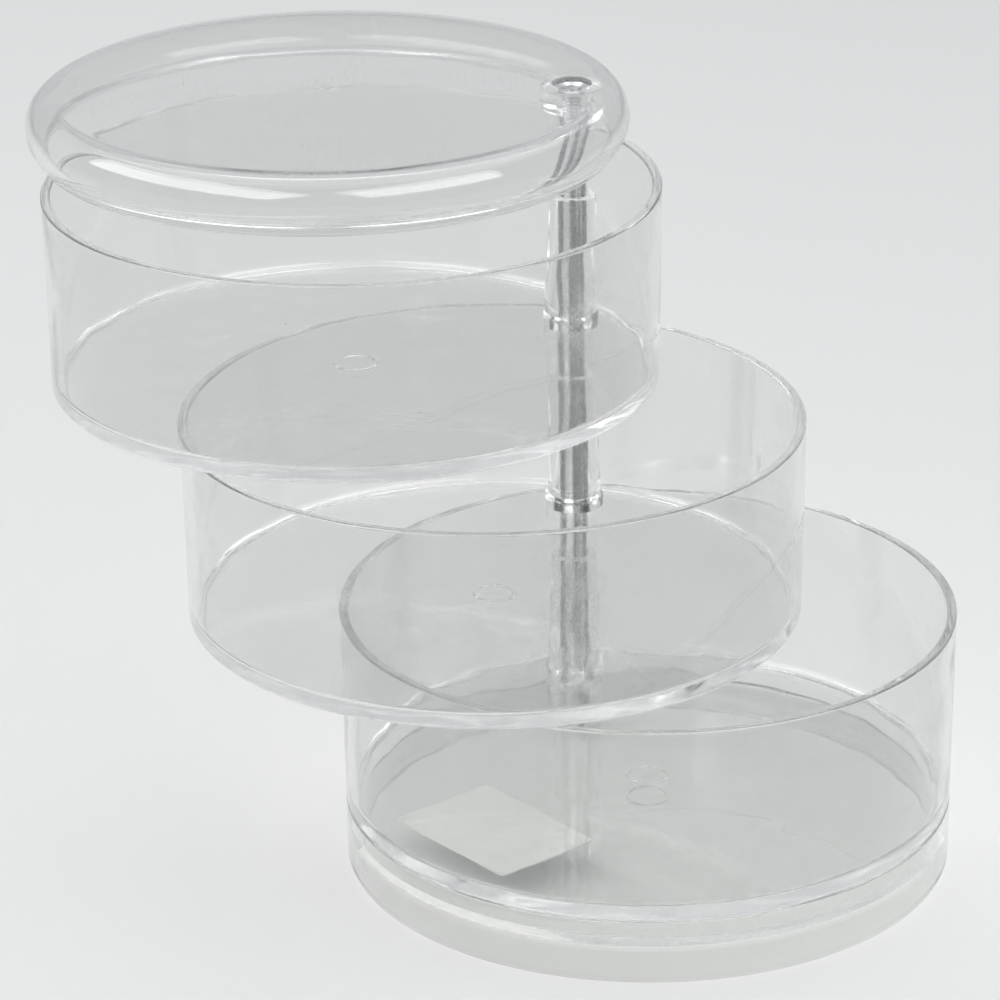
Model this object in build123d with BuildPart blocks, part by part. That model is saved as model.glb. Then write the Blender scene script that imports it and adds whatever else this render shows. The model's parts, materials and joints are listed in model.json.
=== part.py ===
"""Clear swivel caddy: three round trays and a lid that turn about one upright metal rod.

Millimetres, +Z up. The origin is on the table plane, at the middle of the caddy's bounding box
as it stands with the trays fanned out. Run from the build folder; writes one STEP per sub-part.
"""

import os
from math import cos, radians, sin

from build123d import *

# Trays, all from the same mould.
tray_rim_radius = 62.5
tray_floor_radius = 62.0
tray_height = 40.5
tray_wall = 2.0
tray_floor = 2.2
rim_rounding = 0.5
floor_corner_outside = 0.9
floor_corner_inside = 1.6
tray_gap = 0.3

# Tapered tube round the rod in every tray, with a collar at its foot.
pivot_offset = 50.0
boss_root_radius = 5.7
boss_top_radius = 4.8
boss_height = 28.2
boss_rounding = 0.4
collar_radius = 6.1
collar_height = 3.0
collar_rounding = 0.8

# Ring left by the moulding gate in the middle of each floor.
gate_outer_radius = 4.5
gate_inner_radius = 3.7
gate_height = 0.35

# Rod: plain shank with a thinner screw end above and below it.
rod_radius = 3.0
rod_running_clearance = 0.08
screw_end_radius = 2.0
screw_clearance = 0.08
nut_thread_clearance = 0.05
rod_bottom_z = 1.2
rod_end_chamfer = 0.4

# Plinth under the bottom tray.
foot_height = 13.5
foot_radius = 62.0
foot_wall = 2.5
foot_plate_bottom = 7.5
foot_plate_thickness = 2.0
foot_edge_rounding = 1.1
foot_hub_radius = 6.1

# Lock nut under the plinth's plate.
lock_nut_across_flats = 7.0
lock_nut_height = 3.2

# Blank sticker under the plinth's plate, placed from the middle of the plinth.
label_length = 34.0
label_width = 24.0
label_thickness = 0.25
label_turn = 130.0
label_centre_x = -31.5
label_centre_y = -13.2

# Lid: flat disc, half-round edge, tucked-in lip and a hub under the disc.
lid_gap = 1.4
lid_height = 12.4
lid_disc_thickness = 2.2
lid_edge_wall = 2.0
lid_outer_radius = 61.9
lid_edge_radius = 6.4
lid_tuck_angle = 55.0
lid_hub_radius = 6.4
lid_hub_length = 7.5
lid_hub_rounding = 1.0
lid_hub_seat_gap = 0.1
nut_pocket_radius = 4.1
nut_pocket_depth = 3.2
nut_pocket_rounding = 0.5
lid_gate_radius = 2.0
lid_gate_height = 0.3

# Round nut on the rod's upper end, sunk in the lid's hub.
top_nut_radius = 3.8
top_nut_height = 2.3
top_nut_seat_gap = 0.1
top_nut_rounding = 0.4

# Direction from the rod to the middle of each piece, in degrees from +X, as fanned out.
bottom_angle = 286.2
middle_angle = 250.3
top_angle = 206.5
lid_angle = 181.0

# Heights.
bottom_tray_z = foot_height
middle_tray_z = bottom_tray_z + tray_height + tray_gap
top_tray_z = middle_tray_z + tray_height + tray_gap
lid_lip_z = top_tray_z + tray_height + lid_gap
lid_top_z = lid_lip_z + lid_height
hub_bottom_z = lid_top_z - lid_hub_length
nut_seat_z = lid_top_z - nut_pocket_depth
top_nut_z = nut_seat_z + top_nut_seat_gap
rod_shoulder_z = hub_bottom_z - lid_hub_seat_gap
rod_top_z = top_nut_z + top_nut_height - rod_end_chamfer

# The rod stands where the fanned-out bounding box has its middle at the origin.
left_edge = pivot_offset * cos(radians(lid_angle)) - lid_outer_radius
top_left_edge = pivot_offset * cos(radians(top_angle)) - tray_rim_radius
right_edge = pivot_offset * cos(radians(bottom_angle)) + tray_rim_radius
back_edge = pivot_offset * sin(radians(lid_angle)) + lid_outer_radius
front_edge = pivot_offset * sin(radians(bottom_angle)) - tray_rim_radius
rod_x = -(min(left_edge, top_left_edge) + right_edge) / 2
rod_y = -(back_edge + front_edge) / 2


def centre_of(angle):
    """Middle of a tray or lid that points this way from the rod."""
    x = rod_x + pivot_offset * cos(radians(angle))
    y = rod_y + pivot_offset * sin(radians(angle))
    return x, y


def upright_plane(x, y):
    """Plane whose local X is the radius and local Y the height, through a vertical axis."""
    return Plane(origin=(x, y, 0), x_dir=(1, 0, 0), z_dir=(0, -1, 0))


def vertical_axis(x, y):
    return Axis((x, y, 0), (0, 0, 1))


def level_plane(x, y, z):
    return Plane(origin=(x, y, z), x_dir=(1, 0, 0), z_dir=(0, 0, 1))


def corner(sketch, x, y):
    """The sketch's vertex nearest to a local point."""
    place = sketch.workplanes[0].from_local_coords(Vector(x, y, 0))
    return sketch.vertices().sort_by_distance(place)[0]


def round_edges_at(part, x, y, z, radius):
    """Circular edges of this radius about the vertical line through x, y at height z."""
    wanted = []
    for edge in part.edges().filter_by(GeomType.CIRCLE):
        centre = edge.arc_center
        near = abs(centre.X - x) < 0.01 and abs(centre.Y - y) < 0.01 and abs(centre.Z - z) < 0.01
        if near and abs(edge.radius - radius) < 0.01:
            wanted.append(edge)
    return wanted


def make_tray(angle, underside_z):
    x, y = centre_of(angle)
    floor_z = underside_z + tray_floor
    rim_z = underside_z + tray_height
    inner_rim = tray_rim_radius - tray_wall
    inner_floor = tray_floor_radius - tray_wall
    with BuildPart() as tray:
        with BuildSketch(upright_plane(x, y)):
            with BuildLine():
                Polyline(
                    (0, underside_z),
                    (tray_floor_radius, underside_z),
                    (tray_rim_radius, rim_z),
                    (inner_rim, rim_z),
                    (inner_floor, floor_z),
                    (0, floor_z),
                    close=True,
                )
            make_face()
        revolve(axis=vertical_axis(x, y))
        fillet(round_edges_at(tray.part, x, y, underside_z, tray_floor_radius), floor_corner_outside)
        fillet(round_edges_at(tray.part, x, y, floor_z, inner_floor), floor_corner_inside)
        fillet(round_edges_at(tray.part, x, y, rim_z, tray_rim_radius), rim_rounding)
        fillet(round_edges_at(tray.part, x, y, rim_z, inner_rim), rim_rounding)
        with BuildSketch(level_plane(rod_x, rod_y, floor_z)):
            Circle(collar_radius)
        extrude(amount=collar_height)
        fillet(
            round_edges_at(tray.part, rod_x, rod_y, floor_z + collar_height, collar_radius),
            collar_rounding,
        )
        with Locations((rod_x, rod_y, floor_z)):
            Cone(
                boss_root_radius,
                boss_top_radius,
                boss_height,
                align=(Align.CENTER, Align.CENTER, Align.MIN),
            )
        fillet(
            round_edges_at(tray.part, rod_x, rod_y, floor_z + boss_height, boss_top_radius),
            boss_rounding,
        )
        with BuildSketch(level_plane(rod_x, rod_y, underside_z)):
            Circle(rod_radius + rod_running_clearance)
        extrude(amount=tray_height, mode=Mode.SUBTRACT)
        with BuildSketch(level_plane(x, y, floor_z)):
            Circle(gate_outer_radius)
            Circle(gate_inner_radius, mode=Mode.SUBTRACT)
        extrude(amount=gate_height)
    return tray.part


os.makedirs("parts", exist_ok=True)

# Three trays from one mould.
trays = {
    "bottom_tray": (bottom_angle, bottom_tray_z),
    "middle_tray": (middle_angle, middle_tray_z),
    "top_tray": (top_angle, top_tray_z),
}
for tray_name, (tray_angle, tray_z) in trays.items():
    tray_part = make_tray(tray_angle, tray_z)
    tray_part.label = tray_name
    export_step(tray_part, "parts/" + tray_name + ".step")

# Plinth: skirt, plate and the hub that carries the rod's lower shoulder.
foot_x, foot_y = centre_of(bottom_angle)
foot_plate_top = foot_plate_bottom + foot_plate_thickness
foot_inner = foot_radius - foot_wall
with BuildPart() as base_foot:
    with BuildSketch(upright_plane(foot_x, foot_y)):
        with BuildLine():
            Polyline(
                (0, foot_plate_bottom),
                (foot_inner, foot_plate_bottom),
                (foot_inner, 0),
                (foot_radius, 0),
                (foot_radius, foot_height),
                (foot_inner, foot_height),
                (foot_inner, foot_plate_top),
                (0, foot_plate_top),
                close=True,
            )
        make_face()
    revolve(axis=vertical_axis(foot_x, foot_y))
    fillet(round_edges_at(base_foot.part, foot_x, foot_y, 0, foot_radius), foot_edge_rounding)
    with BuildSketch(level_plane(rod_x, rod_y, foot_plate_top)):
        Circle(foot_hub_radius)
    extrude(amount=foot_height - foot_plate_top)
    with BuildSketch(level_plane(rod_x, rod_y, foot_plate_bottom)):
        Circle(screw_end_radius + screw_clearance)
    extrude(amount=foot_height, mode=Mode.SUBTRACT)
    with BuildSketch(level_plane(foot_x, foot_y, foot_plate_top)):
        Circle(gate_outer_radius)
        Circle(gate_inner_radius, mode=Mode.SUBTRACT)
    extrude(amount=gate_height)
base_foot.part.label = "base_foot"
export_step(base_foot.part, "parts/base_foot.step")

# Rod.
with BuildPart() as pivot_rod:
    with BuildSketch(level_plane(rod_x, rod_y, rod_bottom_z)):
        Circle(screw_end_radius)
    extrude(amount=rod_top_z - rod_bottom_z)
    chamfer(round_edges_at(pivot_rod.part, rod_x, rod_y, rod_bottom_z, screw_end_radius), rod_end_chamfer)
    chamfer(round_edges_at(pivot_rod.part, rod_x, rod_y, rod_top_z, screw_end_radius), rod_end_chamfer)
    with BuildSketch(level_plane(rod_x, rod_y, foot_height)):
        Circle(rod_radius)
    extrude(amount=rod_shoulder_z - foot_height)
    chamfer(round_edges_at(pivot_rod.part, rod_x, rod_y, rod_shoulder_z, rod_radius), rod_end_chamfer)
pivot_rod.part.label = "pivot_rod"
export_step(pivot_rod.part, "parts/pivot_rod.step")

# Hexagon lock nut on the rod's lower end, tight under the plinth's plate.
lock_nut_z = foot_plate_bottom - lock_nut_height
with BuildPart() as rod_lock_nut:
    with BuildSketch(level_plane(rod_x, rod_y, lock_nut_z)):
        RegularPolygon(lock_nut_across_flats / 2, 6, major_radius=False)
        Circle(screw_end_radius + nut_thread_clearance, mode=Mode.SUBTRACT)
    extrude(amount=lock_nut_height)
rod_lock_nut.part.label = "rod_lock_nut"
export_step(rod_lock_nut.part, "parts/rod_lock_nut.step")

# Blank sticker on the underside of the plinth's plate.
label_origin = (foot_x + label_centre_x, foot_y + label_centre_y, foot_plate_bottom - label_thickness)
label_direction = (cos(radians(label_turn)), sin(radians(label_turn)), 0)
with BuildPart() as floor_label:
    with BuildSketch(Plane(origin=label_origin, x_dir=label_direction, z_dir=(0, 0, 1))):
        Rectangle(label_length, label_width)
    extrude(amount=label_thickness)
floor_label.part.label = "floor_label"
export_step(floor_label.part, "parts/floor_label.step")

# Lid.
lid_x, lid_y = centre_of(lid_angle)
edge_centre_r = lid_outer_radius - lid_edge_radius
edge_centre_z = lid_top_z - lid_edge_radius
inner_edge_radius = lid_edge_radius - lid_edge_wall
lip_outer_r = edge_centre_r + lid_edge_radius * cos(radians(lid_tuck_angle))
lip_outer_z = edge_centre_z - lid_edge_radius * sin(radians(lid_tuck_angle))
lip_inner_r = edge_centre_r + inner_edge_radius * cos(radians(lid_tuck_angle))
lip_inner_z = edge_centre_z - inner_edge_radius * sin(radians(lid_tuck_angle))
disc_underside_z = lid_top_z - lid_disc_thickness
inner_top_angle = 90.0
arc_span = inner_top_angle + lid_tuck_angle
with BuildPart() as lid:
    with BuildSketch(upright_plane(lid_x, lid_y)):
        with BuildLine():
            Line((0, lid_top_z), (edge_centre_r, lid_top_z))
            CenterArc((edge_centre_r, edge_centre_z), lid_edge_radius, -lid_tuck_angle, arc_span)
            Line((lip_outer_r, lip_outer_z), (lip_outer_r, lid_lip_z))
            Line((lip_outer_r, lid_lip_z), (lip_inner_r, lid_lip_z))
            Line((lip_inner_r, lid_lip_z), (lip_inner_r, lip_inner_z))
            CenterArc((edge_centre_r, edge_centre_z), inner_edge_radius, -lid_tuck_angle, arc_span)
            Line((edge_centre_r, edge_centre_z + inner_edge_radius), (edge_centre_r, disc_underside_z))
            Line((edge_centre_r, disc_underside_z), (0, disc_underside_z))
            Line((0, disc_underside_z), (0, lid_top_z))
        make_face()
    revolve(axis=vertical_axis(lid_x, lid_y))
    with BuildSketch(level_plane(rod_x, rod_y, hub_bottom_z)):
        Circle(lid_hub_radius)
    extrude(amount=lid_hub_length)
    fillet(round_edges_at(lid.part, rod_x, rod_y, hub_bottom_z, lid_hub_radius), lid_hub_rounding)
    with BuildSketch(level_plane(rod_x, rod_y, nut_seat_z)):
        Circle(nut_pocket_radius)
    extrude(amount=nut_pocket_depth, mode=Mode.SUBTRACT)
    with BuildSketch(level_plane(rod_x, rod_y, hub_bottom_z)):
        Circle(screw_end_radius + screw_clearance)
    extrude(amount=lid_hub_length, mode=Mode.SUBTRACT)
    fillet(round_edges_at(lid.part, rod_x, rod_y, lid_top_z, nut_pocket_radius), nut_pocket_rounding)
    with BuildSketch(level_plane(lid_x, lid_y, lid_top_z)):
        Circle(lid_gate_radius)
    extrude(amount=lid_gate_height)
lid.part.label = "lid"
export_step(lid.part, "parts/lid.step")

# Round nut sunk in the lid's hub.
with BuildPart() as rod_top_nut:
    with BuildSketch(level_plane(rod_x, rod_y, top_nut_z)):
        Circle(top_nut_radius)
        Circle(screw_end_radius + nut_thread_clearance, mode=Mode.SUBTRACT)
    extrude(amount=top_nut_height)
    fillet(
        round_edges_at(rod_top_nut.part, rod_x, rod_y, top_nut_z + top_nut_height, top_nut_radius),
        top_nut_rounding,
    )
rod_top_nut.part.label = "rod_top_nut"
export_step(rod_top_nut.part, "parts/rod_top_nut.step")
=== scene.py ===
"""Clear swivel caddy: three round trays and a lid on one upright metal rod."""

import json
from math import cos, pi, radians, sin

import bmesh
import bpy
from mathutils import Matrix, Vector


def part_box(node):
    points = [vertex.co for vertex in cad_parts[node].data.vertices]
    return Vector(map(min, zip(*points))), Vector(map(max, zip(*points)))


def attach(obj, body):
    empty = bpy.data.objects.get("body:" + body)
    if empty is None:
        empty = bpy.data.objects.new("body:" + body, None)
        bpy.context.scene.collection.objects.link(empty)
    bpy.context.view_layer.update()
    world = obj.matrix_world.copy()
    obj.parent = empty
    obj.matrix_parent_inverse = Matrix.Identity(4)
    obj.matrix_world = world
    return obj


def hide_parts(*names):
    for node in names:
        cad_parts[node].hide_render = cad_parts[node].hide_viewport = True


bl_info = {
    "name": "Swivel caddy finish",
    "version": (1, 0, 0),
    "blender": (4, 5, 0),
    "location": "View3D > Sidebar > Caddy",
    "description": "Makes and finishes the mouldings, rod, nuts and sticker of a swivel caddy",
    "category": "Object",
}

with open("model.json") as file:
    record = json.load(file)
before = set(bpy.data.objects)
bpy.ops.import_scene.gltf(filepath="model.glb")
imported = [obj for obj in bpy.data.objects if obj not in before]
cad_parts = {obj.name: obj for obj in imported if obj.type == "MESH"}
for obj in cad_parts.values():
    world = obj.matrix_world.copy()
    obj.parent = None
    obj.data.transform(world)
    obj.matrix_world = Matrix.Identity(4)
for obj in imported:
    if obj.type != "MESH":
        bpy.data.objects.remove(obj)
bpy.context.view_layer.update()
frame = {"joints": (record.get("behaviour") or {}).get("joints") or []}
ROD = Vector(frame["joints"][0]["pos_m"])
MM = 0.001
TURN_STEPS = 192
SMALL_TURN_STEPS = 64
SHARP_ANGLE = radians(35)
# Distances that keep solids from meeting in one plane when they are joined or cut.
SUNK = 0.8 * MM
PAST = 1.0 * MM
HAIR = 0.01 * MM
MERGE = 0.002 * MM
SLIDE = 0.08 * MM
LABEL_TURN = radians(130)
LIP_TUCK = radians(55)
PLASTIC_IOR = 1.53
DUST_BROWN = (0.2, 0.19, 0.17)
FIBRE_CREAM = (0.8, 0.79, 0.76)
LIGHT_BOUNCES = 48
CLEAR_BOUNCES = 32
TRAYS = (("bottom_tray", "base"), ("middle_tray", "middle"), ("top_tray", "top"))


def node_middle(node):
    low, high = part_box(node)
    return (low + high) / 2


# ---------------------------------------------------------------- sizes and colours


class CaddySizes(bpy.types.PropertyGroup):
    tray_floor: bpy.props.FloatProperty(
        name="Tray floor",
        description="Thickness of a tray's floor",
        default=2.2 * MM,
        unit="LENGTH",
    )
    tray_wall: bpy.props.FloatProperty(
        name="Tray wall",
        description="Thickness of a tray's wall",
        default=2.0 * MM,
        unit="LENGTH",
    )
    tray_draft: bpy.props.FloatProperty(
        name="Tray draft",
        description="How much narrower a tray is at its floor",
        default=0.5 * MM,
        unit="LENGTH",
    )
    boss_root: bpy.props.FloatProperty(
        name="Boss root",
        description="Radius of the tapered tube round the rod, at the floor",
        default=5.7 * MM,
        unit="LENGTH",
    )
    boss_tip: bpy.props.FloatProperty(
        name="Boss tip",
        description="Radius of the tapered tube round the rod, at its top",
        default=4.8 * MM,
        unit="LENGTH",
    )
    boss_height: bpy.props.FloatProperty(
        name="Boss height",
        description="Height of the tube above the floor",
        default=28.2 * MM,
        unit="LENGTH",
    )
    collar_radius: bpy.props.FloatProperty(
        name="Collar radius",
        description="Radius of the collar at the tube's foot",
        default=6.1 * MM,
        unit="LENGTH",
    )
    collar_height: bpy.props.FloatProperty(
        name="Collar height",
        description="Height of the collar above the floor",
        default=3.0 * MM,
        unit="LENGTH",
    )
    rod_radius: bpy.props.FloatProperty(
        name="Rod radius",
        description="Radius of the rod's shank",
        default=3.0 * MM,
        unit="LENGTH",
    )
    screw_radius: bpy.props.FloatProperty(
        name="Screw radius",
        description="Radius of the rod's threaded ends",
        default=2.0 * MM,
        unit="LENGTH",
    )
    gate_radius: bpy.props.FloatProperty(
        name="Gate ring radius",
        description="Radius of the ring in the middle of a floor",
        default=4.5 * MM,
        unit="LENGTH",
    )
    lid_edge: bpy.props.FloatProperty(
        name="Lid edge radius",
        description="Radius of the lid's half-round edge",
        default=6.4 * MM,
        unit="LENGTH",
    )
    hub_radius: bpy.props.FloatProperty(
        name="Lid hub radius",
        description="Radius of the hub under the lid",
        default=6.4 * MM,
        unit="LENGTH",
    )
    hub_length: bpy.props.FloatProperty(
        name="Lid hub length",
        description="Length of the hub under the lid",
        default=7.5 * MM,
        unit="LENGTH",
    )


class CaddyColours(bpy.types.PropertyGroup):
    plastic: bpy.props.FloatVectorProperty(
        name="Plastic",
        description="Tint of light passing through the clear mouldings",
        default=(0.9, 0.903, 0.899),
        subtype="COLOR",
        size=3,
    )
    rod: bpy.props.FloatVectorProperty(
        name="Rod",
        description="Drawn metal of the rod",
        default=(0.42, 0.425, 0.43),
        subtype="COLOR",
        size=3,
    )
    nut: bpy.props.FloatVectorProperty(
        name="Nuts",
        description="Turned metal of the nuts",
        default=(0.8, 0.83, 0.85),
        subtype="COLOR",
        size=3,
    )
    label: bpy.props.FloatVectorProperty(
        name="Sticker",
        description="Paper of the blank sticker",
        default=(0.6, 0.6, 0.59),
        subtype="COLOR",
        size=3,
    )
    ground: bpy.props.FloatVectorProperty(
        name="Floor",
        description="Pale studio floor",
        default=(0.51, 0.51, 0.51),
        subtype="COLOR",
        size=3,
    )


# ---------------------------------------------------------------- shader expressions


class Value:
    """A node socket that can be used in arithmetic; each operation adds a Math node."""

    def __init__(self, tree, socket):
        self.tree = tree
        self.socket = socket

    def maths(self, operation, *others):
        node = self.tree.nodes.new("ShaderNodeMath")
        node.operation = operation
        for place, item in zip(node.inputs, (self, *others)):
            if isinstance(item, Value):
                self.tree.links.new(item.socket, place)
            else:
                place.default_value = item
        return Value(self.tree, node.outputs[0])

    def __add__(self, other):
        return self.maths("ADD", other)

    __radd__ = __add__

    def __mul__(self, other):
        return self.maths("MULTIPLY", other)

    __rmul__ = __mul__

    def __sub__(self, other):
        return self.maths("SUBTRACT", other)

    def __rsub__(self, other):
        return (self * -1.0) + other

    def clipped(self):
        limited = self.maths("MAXIMUM", 0.0)
        return limited.maths("MINIMUM", 1.0)


class Finish:
    """One node material, built from expressions."""

    def __init__(self, name):
        self.material = bpy.data.materials.new(name)
        self.material.use_nodes = True
        self.tree = self.material.node_tree
        self.tree.nodes.clear()
        self.place = self.node("ShaderNodeTexCoord", {}, {}).outputs["Object"]

    def node(self, kind, settings, inputs):
        """Any node: its settings first, then the values or links of its sockets."""
        made = self.tree.nodes.new(kind)
        for key, setting in settings.items():
            setattr(made, key, setting)
        for key, item in inputs.items():
            if isinstance(item, Value):
                self.tree.links.new(item.socket, made.inputs[key])
            elif isinstance(item, bpy.types.NodeSocket):
                self.tree.links.new(item, made.inputs[key])
            else:
                made.inputs[key].default_value = item
        return made

    def stretched(self, scale, turn=(0.0, 0.0, 0.0), shift=(0.0, 0.0, 0.0)):
        settings = {"vector_type": "POINT"}
        inputs = {"Vector": self.place, "Scale": scale, "Rotation": turn, "Location": shift}
        return self.node("ShaderNodeMapping", settings, inputs).outputs[0]

    def height(self):
        made = self.node("ShaderNodeSeparateXYZ", {}, {"Vector": self.place})
        return Value(self.tree, made.outputs["Z"])

    def noise(self, vector, scale, detail=2.0, roughness=0.5):
        inputs = {"Vector": vector, "Scale": scale, "Detail": detail, "Roughness": roughness}
        return Value(self.tree, self.node("ShaderNodeTexNoise", {}, inputs).outputs[0])

    def cells(self, vector, scale):
        """Distance from the nearest of many scattered points."""
        made = self.node("ShaderNodeTexVoronoi", {}, {"Vector": vector, "Scale": scale})
        return Value(self.tree, made.outputs["Distance"])

    def band(self, value, low, high):
        """0 below low, 1 above high, smooth between them."""
        settings = {"interpolation_type": "SMOOTHSTEP"}
        inputs = {"Value": value, "From Min": low, "From Max": high}
        return Value(self.tree, self.node("ShaderNodeMapRange", settings, inputs).outputs[0])

    def blend(self, share, first, second):
        made = self.node("ShaderNodeMix", {"data_type": "RGBA"}, {0: share})
        made.inputs[6].default_value = (*first, 1.0)
        made.inputs[7].default_value = (*second, 1.0)
        return made.outputs[2]

    def tinted(self, share, base_socket, second):
        made = self.node("ShaderNodeMix", {"data_type": "RGBA"}, {0: share, 6: base_socket})
        made.inputs[7].default_value = (*second, 1.0)
        return made.outputs[2]

    def bump(self, height, strength, distance, under=None):
        inputs = {"Height": height, "Strength": strength, "Distance": distance}
        if under is not None:
            inputs["Normal"] = under
        return self.node("ShaderNodeBump", {}, inputs).outputs[0]

    def scratches(self, scale, turn, thin):
        """Thin straight marks: the narrow dark lines of a stretched noise, broken up by another."""
        lines = self.noise(self.stretched((scale, scale * 0.04, scale), turn), 1.0, 1.0)
        near = lines - 0.5
        width = self.band(near.maths("ABSOLUTE"), 0.0, thin)
        patches = self.noise(self.stretched((60.0, 60.0, 60.0), turn), 1.0, 1.0)
        return (1.0 - width) * self.band(patches, 0.55, 0.62)

    def output(self, shader):
        self.node("ShaderNodeOutputMaterial", {}, {"Surface": shader})
        return self.material


def shade_of(colour, amount):
    return tuple(channel * amount for channel in colour)


# ---------------------------------------------------------------- finishes


def clear_plastic(name, tint, seed, base_rough=0.012, ripple_share=0.9, skirt_top=None):
    """Glossy clear moulding: slight flow waves, handling haze, hairline scratches and dust.

    Below skirt_top the plastic colour is darkened: painted shade for the hollow under the plinth's
    plate.
    """
    made = Finish(name)
    shift = (seed * 0.37, seed * 0.21, seed * 0.11)
    waves = made.noise(made.stretched((22.0, 22.0, 9.0), shift=shift), 1.0, 2.0, 0.45)
    clouds = made.noise(made.stretched((34.0, 34.0, 30.0), shift=shift), 1.0, 4.0, 0.6)
    haze = made.band(clouds, 0.48, 0.75)
    marks = made.scratches(1600.0, (0.2 + seed, 0.4, 0.7 * seed), 0.012)
    marks = marks + made.scratches(1300.0, (1.1, 0.3 * seed, 1.9 + seed), 0.010)
    specks = made.cells(made.stretched((120.0, 120.0, 120.0), shift=shift), 1.0)
    dust = 1.0 - made.band(specks, 0.014, 0.026)
    rough = haze * 0.045 + marks.clipped() * 0.22 + dust * 0.25 + base_rough
    ripple = made.noise(made.stretched((62.0, 62.0, 75.0), shift=shift), 1.0, 1.0, 0.4)
    smooth = made.bump(waves, 0.14, 0.0016)
    smooth = made.bump(ripple, ripple_share, 0.00016, smooth)
    surface = made.bump(marks.clipped(), 0.08, 0.00005, smooth)
    colour = made.blend(haze * 0.5, tint, shade_of(tint, 0.985))
    colour = made.tinted(dust * 0.9, colour, DUST_BROWN)
    if skirt_top is not None:
        # Painted shade: plastic below the plate is darkened to stand in for the shadow in the
        # hollow under it.
        painted_hollow_shade = 1.0 - made.band(made.height(), skirt_top - 0.6 * MM, skirt_top)
        colour = made.tinted(painted_hollow_shade, colour, shade_of(tint, 0.86))
    body = made.node(
        "ShaderNodeBsdfPrincipled",
        {},
        {
            "Base Color": colour,
            "Roughness": rough.clipped(),
            "Normal": surface,
            "IOR": PLASTIC_IOR,
            "Transmission Weight": 1.0,
        },
    )
    shadow_tint = (*shade_of(tint, 1.1), 1.0)
    open_to_lamps = made.node("ShaderNodeBsdfTransparent", {}, {"Color": shadow_tint})
    rays = made.node("ShaderNodeLightPath", {}, {})
    mixed = made.node(
        "ShaderNodeMixShader",
        {},
        {0: rays.outputs["Is Shadow Ray"], 1: body.outputs[0], 2: open_to_lamps.outputs[0]},
    )
    return made.output(mixed.outputs[0])


def drawn_metal(name, colour):
    """Drawn rod: fine streaks along its length, dull spots and nicks, with light and dark
    lengthwise bands painted into the colour as reflection streaks.
    """
    made = Finish(name)
    streaks = made.noise(made.stretched((1500.0, 1500.0, 9.0)), 1.0, 3.0, 0.6)
    broad = made.stretched((520.0, 520.0, 5.0), shift=(3.1, 1.7, 0.4))
    painted_reflection_bands = made.band(made.noise(broad, 1.0, 2.0, 0.5), 0.42, 0.58)
    spots = made.noise(made.stretched((520.0, 520.0, 380.0)), 1.0, 4.0, 0.7)
    dull = made.band(spots, 0.5, 0.72)
    nicks = made.scratches(2500.0, (0.5, 1.2, 0.3), 0.03)
    rough = streaks * 0.16 + dull * 0.16 + nicks * 0.2 + painted_reflection_bands * 0.10 + 0.08
    # Painted reflection: lit and shaded copies of the rod colour, in lengthwise bands, stand in for
    # reflection streaks.
    colours = made.blend(painted_reflection_bands, shade_of(colour, 2.2), shade_of(colour, 0.95))
    colours = made.tinted(dull * 0.4, colours, shade_of(colour, 0.85))
    surface = made.bump(streaks, 0.5, 0.00006)
    surface = made.bump(nicks, 0.3, 0.00003, surface)
    metal = made.node(
        "ShaderNodeBsdfPrincipled",
        {},
        {"Base Color": colours, "Roughness": rough.clipped(), "Normal": surface, "Metallic": 1.0},
    )
    return made.output(metal.outputs[0])


def turned_metal(name, colour):
    """Turned nuts: fine rings from the lathe and a few handling marks."""
    made = Finish(name)
    rings = made.noise(made.stretched((60.0, 60.0, 6000.0)), 1.0, 2.0, 0.5)
    marks = made.band(made.noise(made.stretched((700.0, 700.0, 700.0)), 1.0, 3.0, 0.6), 0.55, 0.7)
    rough = rings * 0.12 + marks * 0.2 + 0.16
    metal = made.node(
        "ShaderNodeBsdfPrincipled",
        {},
        {
            "Base Color": made.blend(marks, colour, shade_of(colour, 0.75)),
            "Roughness": rough.clipped(),
            "Normal": made.bump(rings, 0.3, 0.00003),
            "Metallic": 1.0,
        },
    )
    return made.output(metal.outputs[0])


def sticker_paper(name, colour):
    """Blank paper: faint fibres and a slight yellowing towards some patches."""
    made = Finish(name)
    fibres = made.noise(made.stretched((1500.0, 500.0, 1500.0), (0.0, 0.0, 0.7)), 1.0, 4.0, 0.7)
    patches = made.noise(made.stretched((70.0, 70.0, 70.0)), 1.0, 3.0, 0.5)
    tone = made.blend(patches * 0.6, colour, shade_of(colour, 0.93))
    tone = made.tinted(made.band(fibres, 0.55, 0.8) * 0.4, tone, FIBRE_CREAM)
    paper = made.node(
        "ShaderNodeBsdfPrincipled",
        {},
        {
            "Base Color": tone,
            "Roughness": (fibres * 0.2 + 0.55).clipped(),
            "Normal": made.bump(fibres, 0.25, 0.00005),
        },
    )
    return made.output(paper.outputs[0])


def studio_floor(name, colour):
    """Pale matte board with a very slight mottling."""
    made = Finish(name)
    mottle = made.noise(made.stretched((2.0, 2.0, 2.0)), 1.0, 2.0, 0.5)
    grain = made.noise(made.stretched((400.0, 400.0, 400.0)), 1.0, 2.0, 0.5)
    board = made.node(
        "ShaderNodeBsdfPrincipled",
        {},
        {
            "Base Color": made.blend(mottle, colour, shade_of(colour, 0.985)),
            "Roughness": (grain * 0.1 + 0.8).clipped(),
            "Normal": made.bump(grain, 0.05, 0.0001),
        },
    )
    return made.output(board.outputs[0])


# ---------------------------------------------------------------- modelling


def chain(mesh, points):
    """Vertices joined one after another into an open line."""
    verts = [mesh.verts.new(point) for point in points]
    for first, second in zip(verts, verts[1:]):
        mesh.edges.new((first, second))
    return verts


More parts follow.
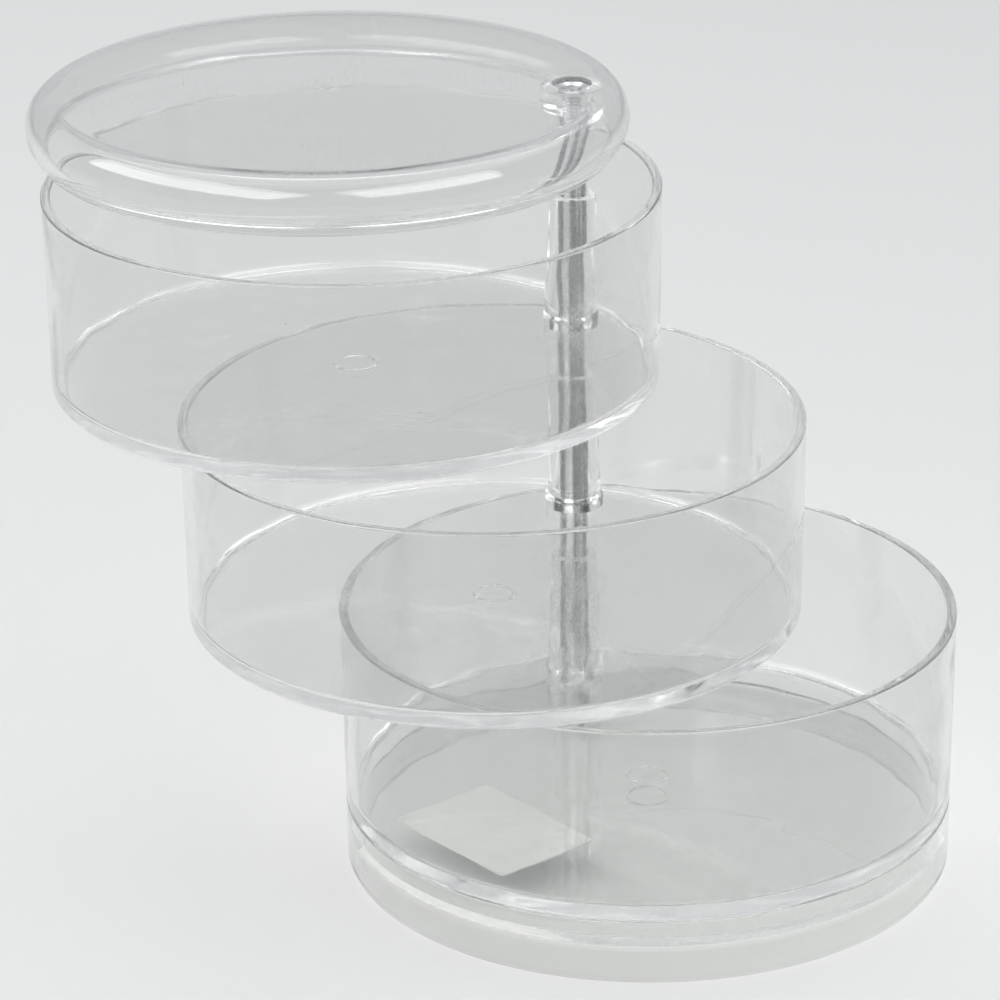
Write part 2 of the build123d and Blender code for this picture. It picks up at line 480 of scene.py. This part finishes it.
def arc(mesh, start, middle, angle, steps):
    """Line swept from a start point about an axis along Y; returns its first and last vertex."""
    first = mesh.verts.new(start)
    swept = bmesh.ops.spin(
        mesh, geom=[first], cent=middle, axis=(0, 1, 0), dvec=(0, 0, 0), angle=angle, steps=steps,
        use_merge=False, use_duplicate=False,
    )
    last = [item for item in swept["geom_last"] if isinstance(item, bmesh.types.BMVert)][0]
    return first, last


def turn(mesh, middle, steps):
    """Everything drawn so far, turned once round the vertical line through middle."""
    bmesh.ops.spin(
        mesh, geom=mesh.verts[:] + mesh.edges[:], cent=middle, axis=(0, 0, 1), dvec=(0, 0, 0),
        angle=2 * pi, steps=steps, use_merge=True, use_duplicate=False,
    )
    bmesh.ops.remove_doubles(mesh, verts=mesh.verts[:], dist=MERGE)
    bmesh.ops.recalc_face_normals(mesh, faces=mesh.faces[:])


def ring_edges(mesh, middle, radius, height):
    """Edges that lie on a level circle of this radius about middle."""

    def on_ring(vert):
        away = (vert.co - Vector((middle[0], middle[1], vert.co.z))).length
        return abs(away - radius) <= HAIR and abs(vert.co.z - height) <= HAIR

    return [edge for edge in mesh.edges if all(on_ring(vert) for vert in edge.verts)]


def rounded(mesh, middle, radius, height, size, segments):
    bmesh.ops.bevel(
        mesh, geom=ring_edges(mesh, middle, radius, height), offset=size, offset_type="OFFSET",
        segments=segments, profile=0.5, affect="EDGES", material=-1, clamp_overlap=True,
    )


def turned_solid(points, middle, steps, roundings=()):
    """Closed solid of revolution from (radius, height) points, with some corners rounded."""
    mesh = bmesh.new()
    chain(mesh, [(middle[0] + radius, middle[1], height) for radius, height in points])
    turn(mesh, middle, steps)
    for radius, height, size, segments in roundings:
        rounded(mesh, middle, radius, height, size, segments)
    return mesh


def gate_ring(radius, floor):
    """Low rounded ring left by the mould's gate, as (radius, height) points going inwards."""
    outside = ((0.5, 0.0), (0.2, 0.0), (0.05, 0.04), (-0.2, 0.14))
    inside = ((-0.4, 0.18), (-0.6, 0.14), (-0.85, 0.04), (-1.0, 0.0), (-1.3, 0.0))
    return [(radius + across * MM, floor + up * MM) for across, up in outside + inside]


def piece(name, mesh):
    """A new object from a bmesh, linked to the scene."""
    data = bpy.data.meshes.new(name)
    mesh.to_mesh(data)
    mesh.free()
    made = bpy.data.objects.new(name, data)
    bpy.context.scene.collection.objects.link(made)
    return made


def combined(made, tool, operation):
    """Joins a tool solid to a piece, or cuts it away, for good."""
    step = made.modifiers.new("combine", "BOOLEAN")
    step.object = tool
    step.operation = operation
    step.solver = "EXACT"
    depsgraph = bpy.context.evaluated_depsgraph_get()
    data = bpy.data.meshes.new_from_object(made.evaluated_get(depsgraph))
    made.modifiers.clear()
    old = made.data
    made.data = data
    data.name = made.name
    bpy.data.meshes.remove(old)
    bpy.data.objects.remove(tool)
    if len(data.polygons) == 0:
        raise RuntimeError(made.name + " came out empty")


def smoothed(made):
    """Smooth shading with crisp edges; flat faces keep their own direction."""
    made.data.shade_smooth()
    made.data.set_sharp_from_angle(angle=SHARP_ANGLE)
    step = made.modifiers.new("even shading", "WEIGHTED_NORMAL")
    step.mode = "FACE_AREA"
    step.weight = 50
    step.keep_sharp = True


def finished(made, material, node, body):
    made.data.materials.clear()
    made.data.materials.append(material)
    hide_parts(node)
    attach(made, body)


# ---------------------------------------------------------------- pieces


class CADDY_OT_trays(bpy.types.Operator):
    """Make the three clear trays from one profile, each with its tube round the rod"""

    bl_idname = "caddy.trays"
    bl_label = "Trays"

    def execute(self, context):
        sizes = context.scene.caddy_sizes
        colours = context.scene.caddy_colours
        for number, (node, body) in enumerate(TRAYS):
            material = clear_plastic("clear plastic " + node, colours.plastic, number + 1)
            made = self.tray(node, sizes)
            smoothed(made)
            finished(made, material, node, body)
        return {"FINISHED"}

    def tray(self, node, sizes):
        low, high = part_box(node)
        middle = (low + high) / 2
        rim = (high.x - low.x) / 2
        base = rim - sizes.tray_draft
        floor = low.z + sizes.tray_floor
        heel_round = 0.9 * MM
        rim_round = 0.5 * MM
        floor_round = 1.6 * MM
        outline = (
            (0, low.z),
            (base - heel_round - 0.6 * MM, low.z),
            (base, low.z),
            (rim, high.z),
            (rim - sizes.tray_wall, high.z),
            (base - sizes.tray_wall, floor),
            (base - sizes.tray_wall - floor_round - 0.8 * MM, floor),
            *gate_ring(sizes.gate_radius, floor),
            (0, floor),
        )
        roundings = (
            (base, low.z, heel_round, 6),
            (rim, high.z, rim_round, 5),
            (rim - sizes.tray_wall, high.z, rim_round, 5),
            (base - sizes.tray_wall, floor, floor_round, 8),
        )
        made = piece(node + "_moulding", turned_solid(outline, middle, TURN_STEPS, roundings))
        boss_top = floor + sizes.boss_height
        collar_top = floor + sizes.collar_height
        root = floor - SUNK
        rise = sizes.collar_height / sizes.boss_height
        boss_side = sizes.boss_root + (sizes.boss_tip - sizes.boss_root) * rise
        tube = (
            (0, root),
            (sizes.collar_radius, root),
            (sizes.collar_radius, collar_top - 0.8 * MM),
            (sizes.collar_radius - 0.1 * MM, collar_top - 0.45 * MM),
            (sizes.collar_radius - 0.35 * MM, collar_top - 0.1 * MM),
            (boss_side, collar_top + 0.2 * MM),
            (sizes.boss_tip, boss_top),
            (0, boss_top),
        )
        tip_rounding = (sizes.boss_tip, boss_top, 0.4 * MM, 4)
        tube_solid = turned_solid(tube, ROD, SMALL_TURN_STEPS, (tip_rounding,))
        combined(made, piece("tube", tube_solid), "UNION")
        bore = sizes.rod_radius + SLIDE
        mouth = 0.3 * MM
        hole = (
            (0, low.z - PAST),
            (bore, low.z - PAST),
            (bore, boss_top - mouth),
            (bore + 2 * mouth, boss_top + mouth),
            (0, boss_top + mouth),
        )
        combined(made, piece("hole", turned_solid(hole, ROD, SMALL_TURN_STEPS)), "DIFFERENCE")
        return made


class CADDY_OT_lid(bpy.types.Operator):
    """Make the clear lid: flat disc, half-round edge, tucked-in lip and the hub on the rod"""

    bl_idname = "caddy.lid"
    bl_label = "Lid"

    def execute(self, context):
        sizes = context.scene.caddy_sizes
        low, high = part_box("lid")
        middle = (low + high) / 2
        radius = (high.y - low.y) / 2
        gate_height = 0.3 * MM
        top = high.z - gate_height
        wall = 2.0 * MM
        disc = 2.2 * MM
        edge_r = radius - sizes.lid_edge
        edge_z = top - sizes.lid_edge
        span = radians(90) + LIP_TUCK
        inner = sizes.lid_edge - wall
        inset = 1.0 * MM
        mesh = bmesh.new()
        axis_point = (middle.x + edge_r, middle.y, edge_z)
        outer_start = (middle.x + edge_r, middle.y, top)
        outer_first, outer_last = arc(mesh, outer_start, axis_point, span, 26)
        inner_start = (middle.x + edge_r, middle.y, edge_z + inner)
        inner_first, inner_last = arc(mesh, inner_start, axis_point, span, 20)
        gate = 2.0 * MM
        top_line = chain(
            mesh,
            [
                (middle.x, middle.y, high.z),
                (middle.x + gate - 0.1 * MM, middle.y, high.z),
                (middle.x + gate, middle.y, top),
                (middle.x + gate + 0.5 * MM, middle.y, top),
                (middle.x + edge_r - inset, middle.y, top),
            ],
        )
        mesh.edges.new((top_line[-1], outer_first))
        lip = chain(mesh, [(outer_last.co.x, middle.y, low.z), (inner_last.co.x, middle.y, low.z)])
        mesh.edges.new((outer_last, lip[0]))
        mesh.edges.new((lip[1], inner_last))
        under = chain(
            mesh,
            [
                (middle.x + edge_r, middle.y, top - disc),
                (middle.x + edge_r - inset, middle.y, top - disc),
                (middle.x, middle.y, top - disc),
            ],
        )
        mesh.edges.new((inner_first, under[0]))
        lip_outer = outer_last.co.x - middle.x
        lip_inner = inner_last.co.x - middle.x
        turn(mesh, middle, TURN_STEPS)
        lip_round = 0.3 * MM
        rounded(mesh, middle, lip_outer, low.z, lip_round, 4)
        rounded(mesh, middle, lip_inner, low.z, lip_round, 4)
        made = piece("lid_moulding", mesh)
        hub_bottom = top - sizes.hub_length
        hub = (
            (0, hub_bottom),
            (sizes.hub_radius, hub_bottom),
            (sizes.hub_radius, top - SUNK),
            (0, top - SUNK),
        )
        hub_rounding = (sizes.hub_radius, hub_bottom, 1.0 * MM, 7)
        hub_solid = turned_solid(hub, ROD, SMALL_TURN_STEPS, (hub_rounding,))
        combined(made, piece("hub", hub_solid), "UNION")
        screw = sizes.screw_radius + SLIDE
        pocket = 4.1 * MM
        pocket_depth = 3.2 * MM
        lead_in = 0.5 * MM
        seat = top - pocket_depth
        hole = (
            (0, hub_bottom - PAST),
            (screw, hub_bottom - PAST),
            (screw, seat),
            (pocket, seat),
            (pocket, top - lead_in),
            (pocket + 0.3 * lead_in, top - 0.36 * lead_in),
            (pocket + lead_in, top),
            (pocket + lead_in, top + PAST),
            (0, top + PAST),
        )
        combined(made, piece("pocket", turned_solid(hole, ROD, SMALL_TURN_STEPS)), "DIFFERENCE")
        smoothed(made)
        tint = context.scene.caddy_colours.plastic
        material = clear_plastic("clear plastic lid", tint, 4, base_rough=0.025, ripple_share=0.25)
        finished(made, material, "lid", "cover")
        return {"FINISHED"}


class CADDY_OT_foot(bpy.types.Operator):
    """Make the clear plinth: skirt, plate and the hub that carries the rod"""

    bl_idname = "caddy.foot"
    bl_label = "Plinth"

    def execute(self, context):
        sizes = context.scene.caddy_sizes
        low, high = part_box("base_foot")
        middle = (low + high) / 2
        radius = (high.x - low.x) / 2
        skirt_wall = 2.5 * MM
        inner = radius - skirt_wall
        plate = 7.5 * MM
        plate_top = 9.5 * MM
        seam = 0.05 * MM
        seat = high.z - seam
        inset = 1.0 * MM
        outline = (
            (0, plate),
            (inner - inset, plate),
            (inner, plate),
            (inner, low.z),
            (radius, low.z),
            (radius, seat),
            (inner, seat),
            (inner, plate_top),
            (inner - inset, plate_top),
            *gate_ring(sizes.gate_radius, plate_top),
            (0, plate_top),
        )
        roundings = (
            (radius, low.z, 1.1 * MM, 6),
            (inner, low.z, 0.3 * MM, 3),
            (radius, seat, 0.25 * MM, 3),
            (inner, seat, 0.25 * MM, 3),
        )
        made = piece("base_foot_moulding", turned_solid(outline, middle, TURN_STEPS, roundings))
        foot = plate_top - SUNK
        hub_radius = sizes.collar_radius
        hub = ((0, foot), (hub_radius, foot), (hub_radius, seat), (0, seat))
        combined(made, piece("hub", turned_solid(hub, ROD, SMALL_TURN_STEPS)), "UNION")
        screw = sizes.screw_radius + SLIDE
        hole = ((0, low.z), (screw, low.z), (screw, high.z + PAST), (0, high.z + PAST))
        combined(made, piece("hole", turned_solid(hole, ROD, SMALL_TURN_STEPS)), "DIFFERENCE")
        smoothed(made)
        tint = context.scene.caddy_colours.plastic
        # skirt_top darkens the plastic below the plate: painted shade for the hollow beneath it.
        material = clear_plastic("clear plastic plinth", tint, 5, ripple_share=0.3, skirt_top=plate)
        finished(made, material, "base_foot", "base")
        return {"FINISHED"}


class CADDY_OT_rod(bpy.types.Operator):
    """Make the metal rod with threads cut on both of its thinner ends"""

    bl_idname = "caddy.rod"
    bl_label = "Rod"

    def execute(self, context):
        sizes = context.scene.caddy_sizes
        low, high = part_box("pivot_rod")
        shank_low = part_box("base_foot")[1].z
        shoulder = 4.8 * MM
        shank_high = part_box("lid")[0].z + shoulder
        end = 0.4 * MM
        relief = 0.6 * MM
        outline = [(0, low.z), (sizes.screw_radius - end, low.z)]
        outline += self.thread(low.z + end, shank_low - relief, sizes.screw_radius)
        outline += [
            (sizes.screw_radius, shank_low),
            (sizes.rod_radius, shank_low),
            (sizes.rod_radius, shank_high - end),
            (sizes.rod_radius - end, shank_high),
            (sizes.screw_radius, shank_high),
        ]
        outline += self.thread(shank_high + 0.2 * MM, high.z - end, sizes.screw_radius)
        outline += [(sizes.screw_radius - end, high.z), (0, high.z)]
        made = piece("pivot_rod_threaded", turned_solid(outline, ROD, SMALL_TURN_STEPS))
        smoothed(made)
        material = drawn_metal("drawn rod metal", context.scene.caddy_colours.rod)
        finished(made, material, "pivot_rod", "base")
        return {"FINISHED"}

    def thread(self, start, stop, radius):
        """Crests and roots of a 0.7 mm thread between two heights."""
        pitch = 0.7 * MM
        depth = 0.38 * MM
        crest_low = 0.3 * MM
        crest_high = 0.4 * MM
        root = radius - depth
        points = []
        count = int((stop - start) / pitch)
        for number in range(count):
            height = start + number * pitch
            points += [(root, height), (radius, height + crest_low), (radius, height + crest_high)]
        points.append((root, start + count * pitch))
        return points


class CADDY_OT_nuts(bpy.types.Operator):
    """Make the hexagon lock nut under the plinth and the round nut sunk in the lid's hub"""

    bl_idname = "caddy.nuts"
    bl_label = "Nuts"

    def execute(self, context):
        material = turned_metal("turned nut metal", context.scene.caddy_colours.nut)
        bore = context.scene.caddy_sizes.screw_radius + 0.05 * MM
        self.lock_nut(bore, material)
        self.top_nut(bore, material)
        return {"FINISHED"}

    def lock_nut(self, bore, material):
        low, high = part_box("rod_lock_nut")
        flats = (high.y - low.y) / 2
        corner = flats / cos(pi / 6)
        chamfer = 0.4 * MM
        mesh = bmesh.new()
        spot = Matrix.Translation((ROD.x, ROD.y, (low.z + high.z) / 2))
        bmesh.ops.create_cone(
            mesh, cap_ends=True, cap_tris=False, segments=6, radius1=corner, radius2=corner,
            depth=high.z - low.z, matrix=spot @ Matrix.Rotation(radians(30), 4, "Z"),
        )
        made = piece("rod_lock_nut_hexagon", mesh)
        crown = (
            (0, low.z - HAIR),
            (flats - 0.1 * MM, low.z - HAIR),
            (corner + 2 * HAIR, low.z + chamfer),
            (corner + 2 * HAIR, high.z - chamfer),
            (flats - 0.1 * MM, high.z + HAIR),
            (0, high.z + HAIR),
        )
        combined(made, piece("crown", turned_solid(crown, ROD, SMALL_TURN_STEPS)), "INTERSECT")
        flare = bore + PAST + chamfer
        hole = (
            (0, low.z - PAST),
            (flare, low.z - PAST),
            (bore, low.z + chamfer),
            (bore, high.z - chamfer),
            (flare, high.z + PAST),
            (0, high.z + PAST),
        )
        bored = turned_solid(hole, ROD, SMALL_TURN_STEPS)
        combined(made, piece("thread hole", bored), "DIFFERENCE")
        smoothed(made)
        finished(made, material, "rod_lock_nut", "base")

    def top_nut(self, bore, material):
        low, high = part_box("rod_top_nut")
        radius = (high.x - low.x) / 2
        rim = 0.9 * MM
        dish = 0.2 * MM
        chamfer = 0.3 * MM
        outline = (
            (bore, low.z),
            (radius, low.z),
            (radius, high.z),
            (radius - rim, high.z),
            (radius - rim - dish, high.z - dish),
            (bore + chamfer, high.z - dish),
            (bore, high.z - dish - chamfer),
            (bore, low.z),
        )
        roundings = ((radius, high.z, 0.4 * MM, 5), (radius, low.z, 0.2 * MM, 3))
        made = piece("rod_top_nut_round", turned_solid(outline, ROD, SMALL_TURN_STEPS, roundings))
        smoothed(made)
        finished(made, material, "rod_top_nut", "base")


class CADDY_OT_sticker(bpy.types.Operator):
    """Make the blank paper sticker under the plinth's plate, with small rounded corners"""

    bl_idname = "caddy.sticker"
    bl_label = "Sticker"

    def execute(self, context):
        low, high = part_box("floor_label")
        middle = (low + high) / 2
        length = 34.0 * MM
        width = 24.0 * MM
        mesh = bmesh.new()
        thickness = high.z - low.z
        corner_round = 0.8 * MM
        spot = Matrix.Translation(middle) @ Matrix.Rotation(LABEL_TURN, 4, "Z")
        shape = spot @ Matrix.Diagonal((length, width, thickness, 1.0))
        bmesh.ops.create_cube(mesh, size=1.0, matrix=shape)
        uprights = []
        for edge in mesh.edges:
            if abs(edge.verts[0].co.z - edge.verts[1].co.z) > thickness / 2:
                uprights.append(edge)
        bmesh.ops.bevel(
            mesh, geom=uprights, offset=corner_round, offset_type="OFFSET", segments=5,
            profile=0.5, affect="EDGES", material=-1,
        )
        made = piece("floor_label_paper", mesh)
        smoothed(made)
        material = sticker_paper("sticker paper", context.scene.caddy_colours.label)
        finished(made, material, "floor_label", "base")
        return {"FINISHED"}


# ---------------------------------------------------------------- stage


# Name, degrees round from the front to the right, degrees up, distance, width and height,
# brightness.
LAMPS = (
    ("left softbox", -64, 46, 1.9, (3.0, 1.0), 3.2),
    ("right softbox", 46, 46, 1.9, (1.8, 1.0), 3.2),
    ("top softbox", 180, 74, 2.0, (2.6, 2.2), 0.9),
)
# Camera place from the rod's foot, then degrees of heading, downward tilt and lean, and its lens.
CAMERA_PLACE = (-0.0139, -0.8846, 0.4178)
CAMERA_HEADING = 0.12
CAMERA_TILT = 22.173
CAMERA_LEAN = -0.734
CAMERA_LENS = 162.0
FLOOR_SIZE = 6.0


class CADDY_OT_stage(bpy.types.Operator):
    """Set the floor, the soft lamps, the surroundings and the camera"""

    bl_idname = "caddy.stage"
    bl_label = "Stage"

    def execute(self, context):
        self.ground(context)
        self.surroundings(context)
        aim = node_middle("middle_tray")
        for lamp in LAMPS:
            self.lamp(context, aim, *lamp)
        self.camera(context)
        context.scene.view_settings.view_transform = "Standard"
        cycles = context.scene.cycles
        cycles.max_bounces = LIGHT_BOUNCES
        cycles.glossy_bounces = LIGHT_BOUNCES
        cycles.transmission_bounces = LIGHT_BOUNCES
        cycles.transparent_max_bounces = CLEAR_BOUNCES
        return {"FINISHED"}

    def ground(self, context):
        mesh = bmesh.new()
        bmesh.ops.create_grid(mesh, x_segments=4, y_segments=4, size=FLOOR_SIZE)
        made = piece("studio_floor", mesh)
        colour = context.scene.caddy_colours.ground
        made.data.materials.append(studio_floor("studio floor", colour))

    def surroundings(self, context):
        world = bpy.data.worlds.new("studio")
        world.use_nodes = True
        background = world.node_tree.nodes["Background"]
        background.inputs["Color"].default_value = (0.93, 0.95, 0.97, 1.0)
        background.inputs["Strength"].default_value = 0.64
        context.scene.world = world

    def lamp(self, context, aim, name, side, height, distance, size, brightness):
        """A rectangular softbox that faces the point it is aimed at."""
        data = bpy.data.lights.new(name, "AREA")
        data.shape = "RECTANGLE"
        data.size = size[0]
        data.size_y = size[1]
        data.energy = brightness * size[0] * size[1] * pi
        made = bpy.data.objects.new(name, data)
        level = distance * cos(radians(height))
        up = distance * sin(radians(height))
        offset = Vector((level * sin(radians(side)), -level * cos(radians(side)), up))
        made.location = aim + offset
        made.rotation_euler = (-offset).to_track_quat("-Z", "Y").to_euler()
        context.scene.collection.objects.link(made)

    def camera(self, context):
        data = bpy.data.cameras.new("front camera")
        data.sensor_width = 36.0
        data.lens = CAMERA_LENS
        data.clip_start = 0.05
        data.clip_end = 30.0
        made = bpy.data.objects.new("front camera", data)
        place = Vector(CAMERA_PLACE) + Vector((ROD.x, ROD.y, 0.0))
        heading = Matrix.Rotation(radians(CAMERA_HEADING), 4, "Z")
        tilt = Matrix.Rotation(radians(90 - CAMERA_TILT), 4, "X")
        lean = Matrix.Rotation(radians(CAMERA_LEAN), 4, "Z")
        made.matrix_world = Matrix.Translation(place) @ heading @ tilt @ lean
        context.scene.collection.objects.link(made)
        context.scene.camera = made


class CADDY_PT_panel(bpy.types.Panel):
    """Buttons for every part of the caddy, in build order"""

    bl_idname = "CADDY_PT_panel"
    bl_label = "Swivel caddy"
    bl_space_type = "VIEW_3D"
    bl_region_type = "UI"
    bl_category = "Caddy"

    def draw(self, context):
        layout = self.layout
        for operator in STEPS:
            layout.operator(operator.bl_idname)
        for group in (context.scene.caddy_sizes, context.scene.caddy_colours):
            for name in group.__annotations__:
                layout.prop(group, name)


STEPS = (
    CADDY_OT_stage,
    CADDY_OT_trays,
    CADDY_OT_lid,
    CADDY_OT_foot,
    CADDY_OT_rod,
    CADDY_OT_nuts,
    CADDY_OT_sticker,
)
CLASSES = (CaddySizes, CaddyColours, *STEPS, CADDY_PT_panel)


def register():
    for item in CLASSES:
        bpy.utils.register_class(item)
    bpy.types.Scene.caddy_sizes = bpy.props.PointerProperty(type=CaddySizes)
    bpy.types.Scene.caddy_colours = bpy.props.PointerProperty(type=CaddyColours)


def unregister():
    del bpy.types.Scene.caddy_colours
    del bpy.types.Scene.caddy_sizes
    for item in reversed(CLASSES):
        bpy.utils.unregister_class(item)


def main():
    register()
    for operator in STEPS:
        group, name = operator.bl_idname.split(".")
        getattr(getattr(bpy.ops, group), name)()


if __name__ == "__main__":
    main()
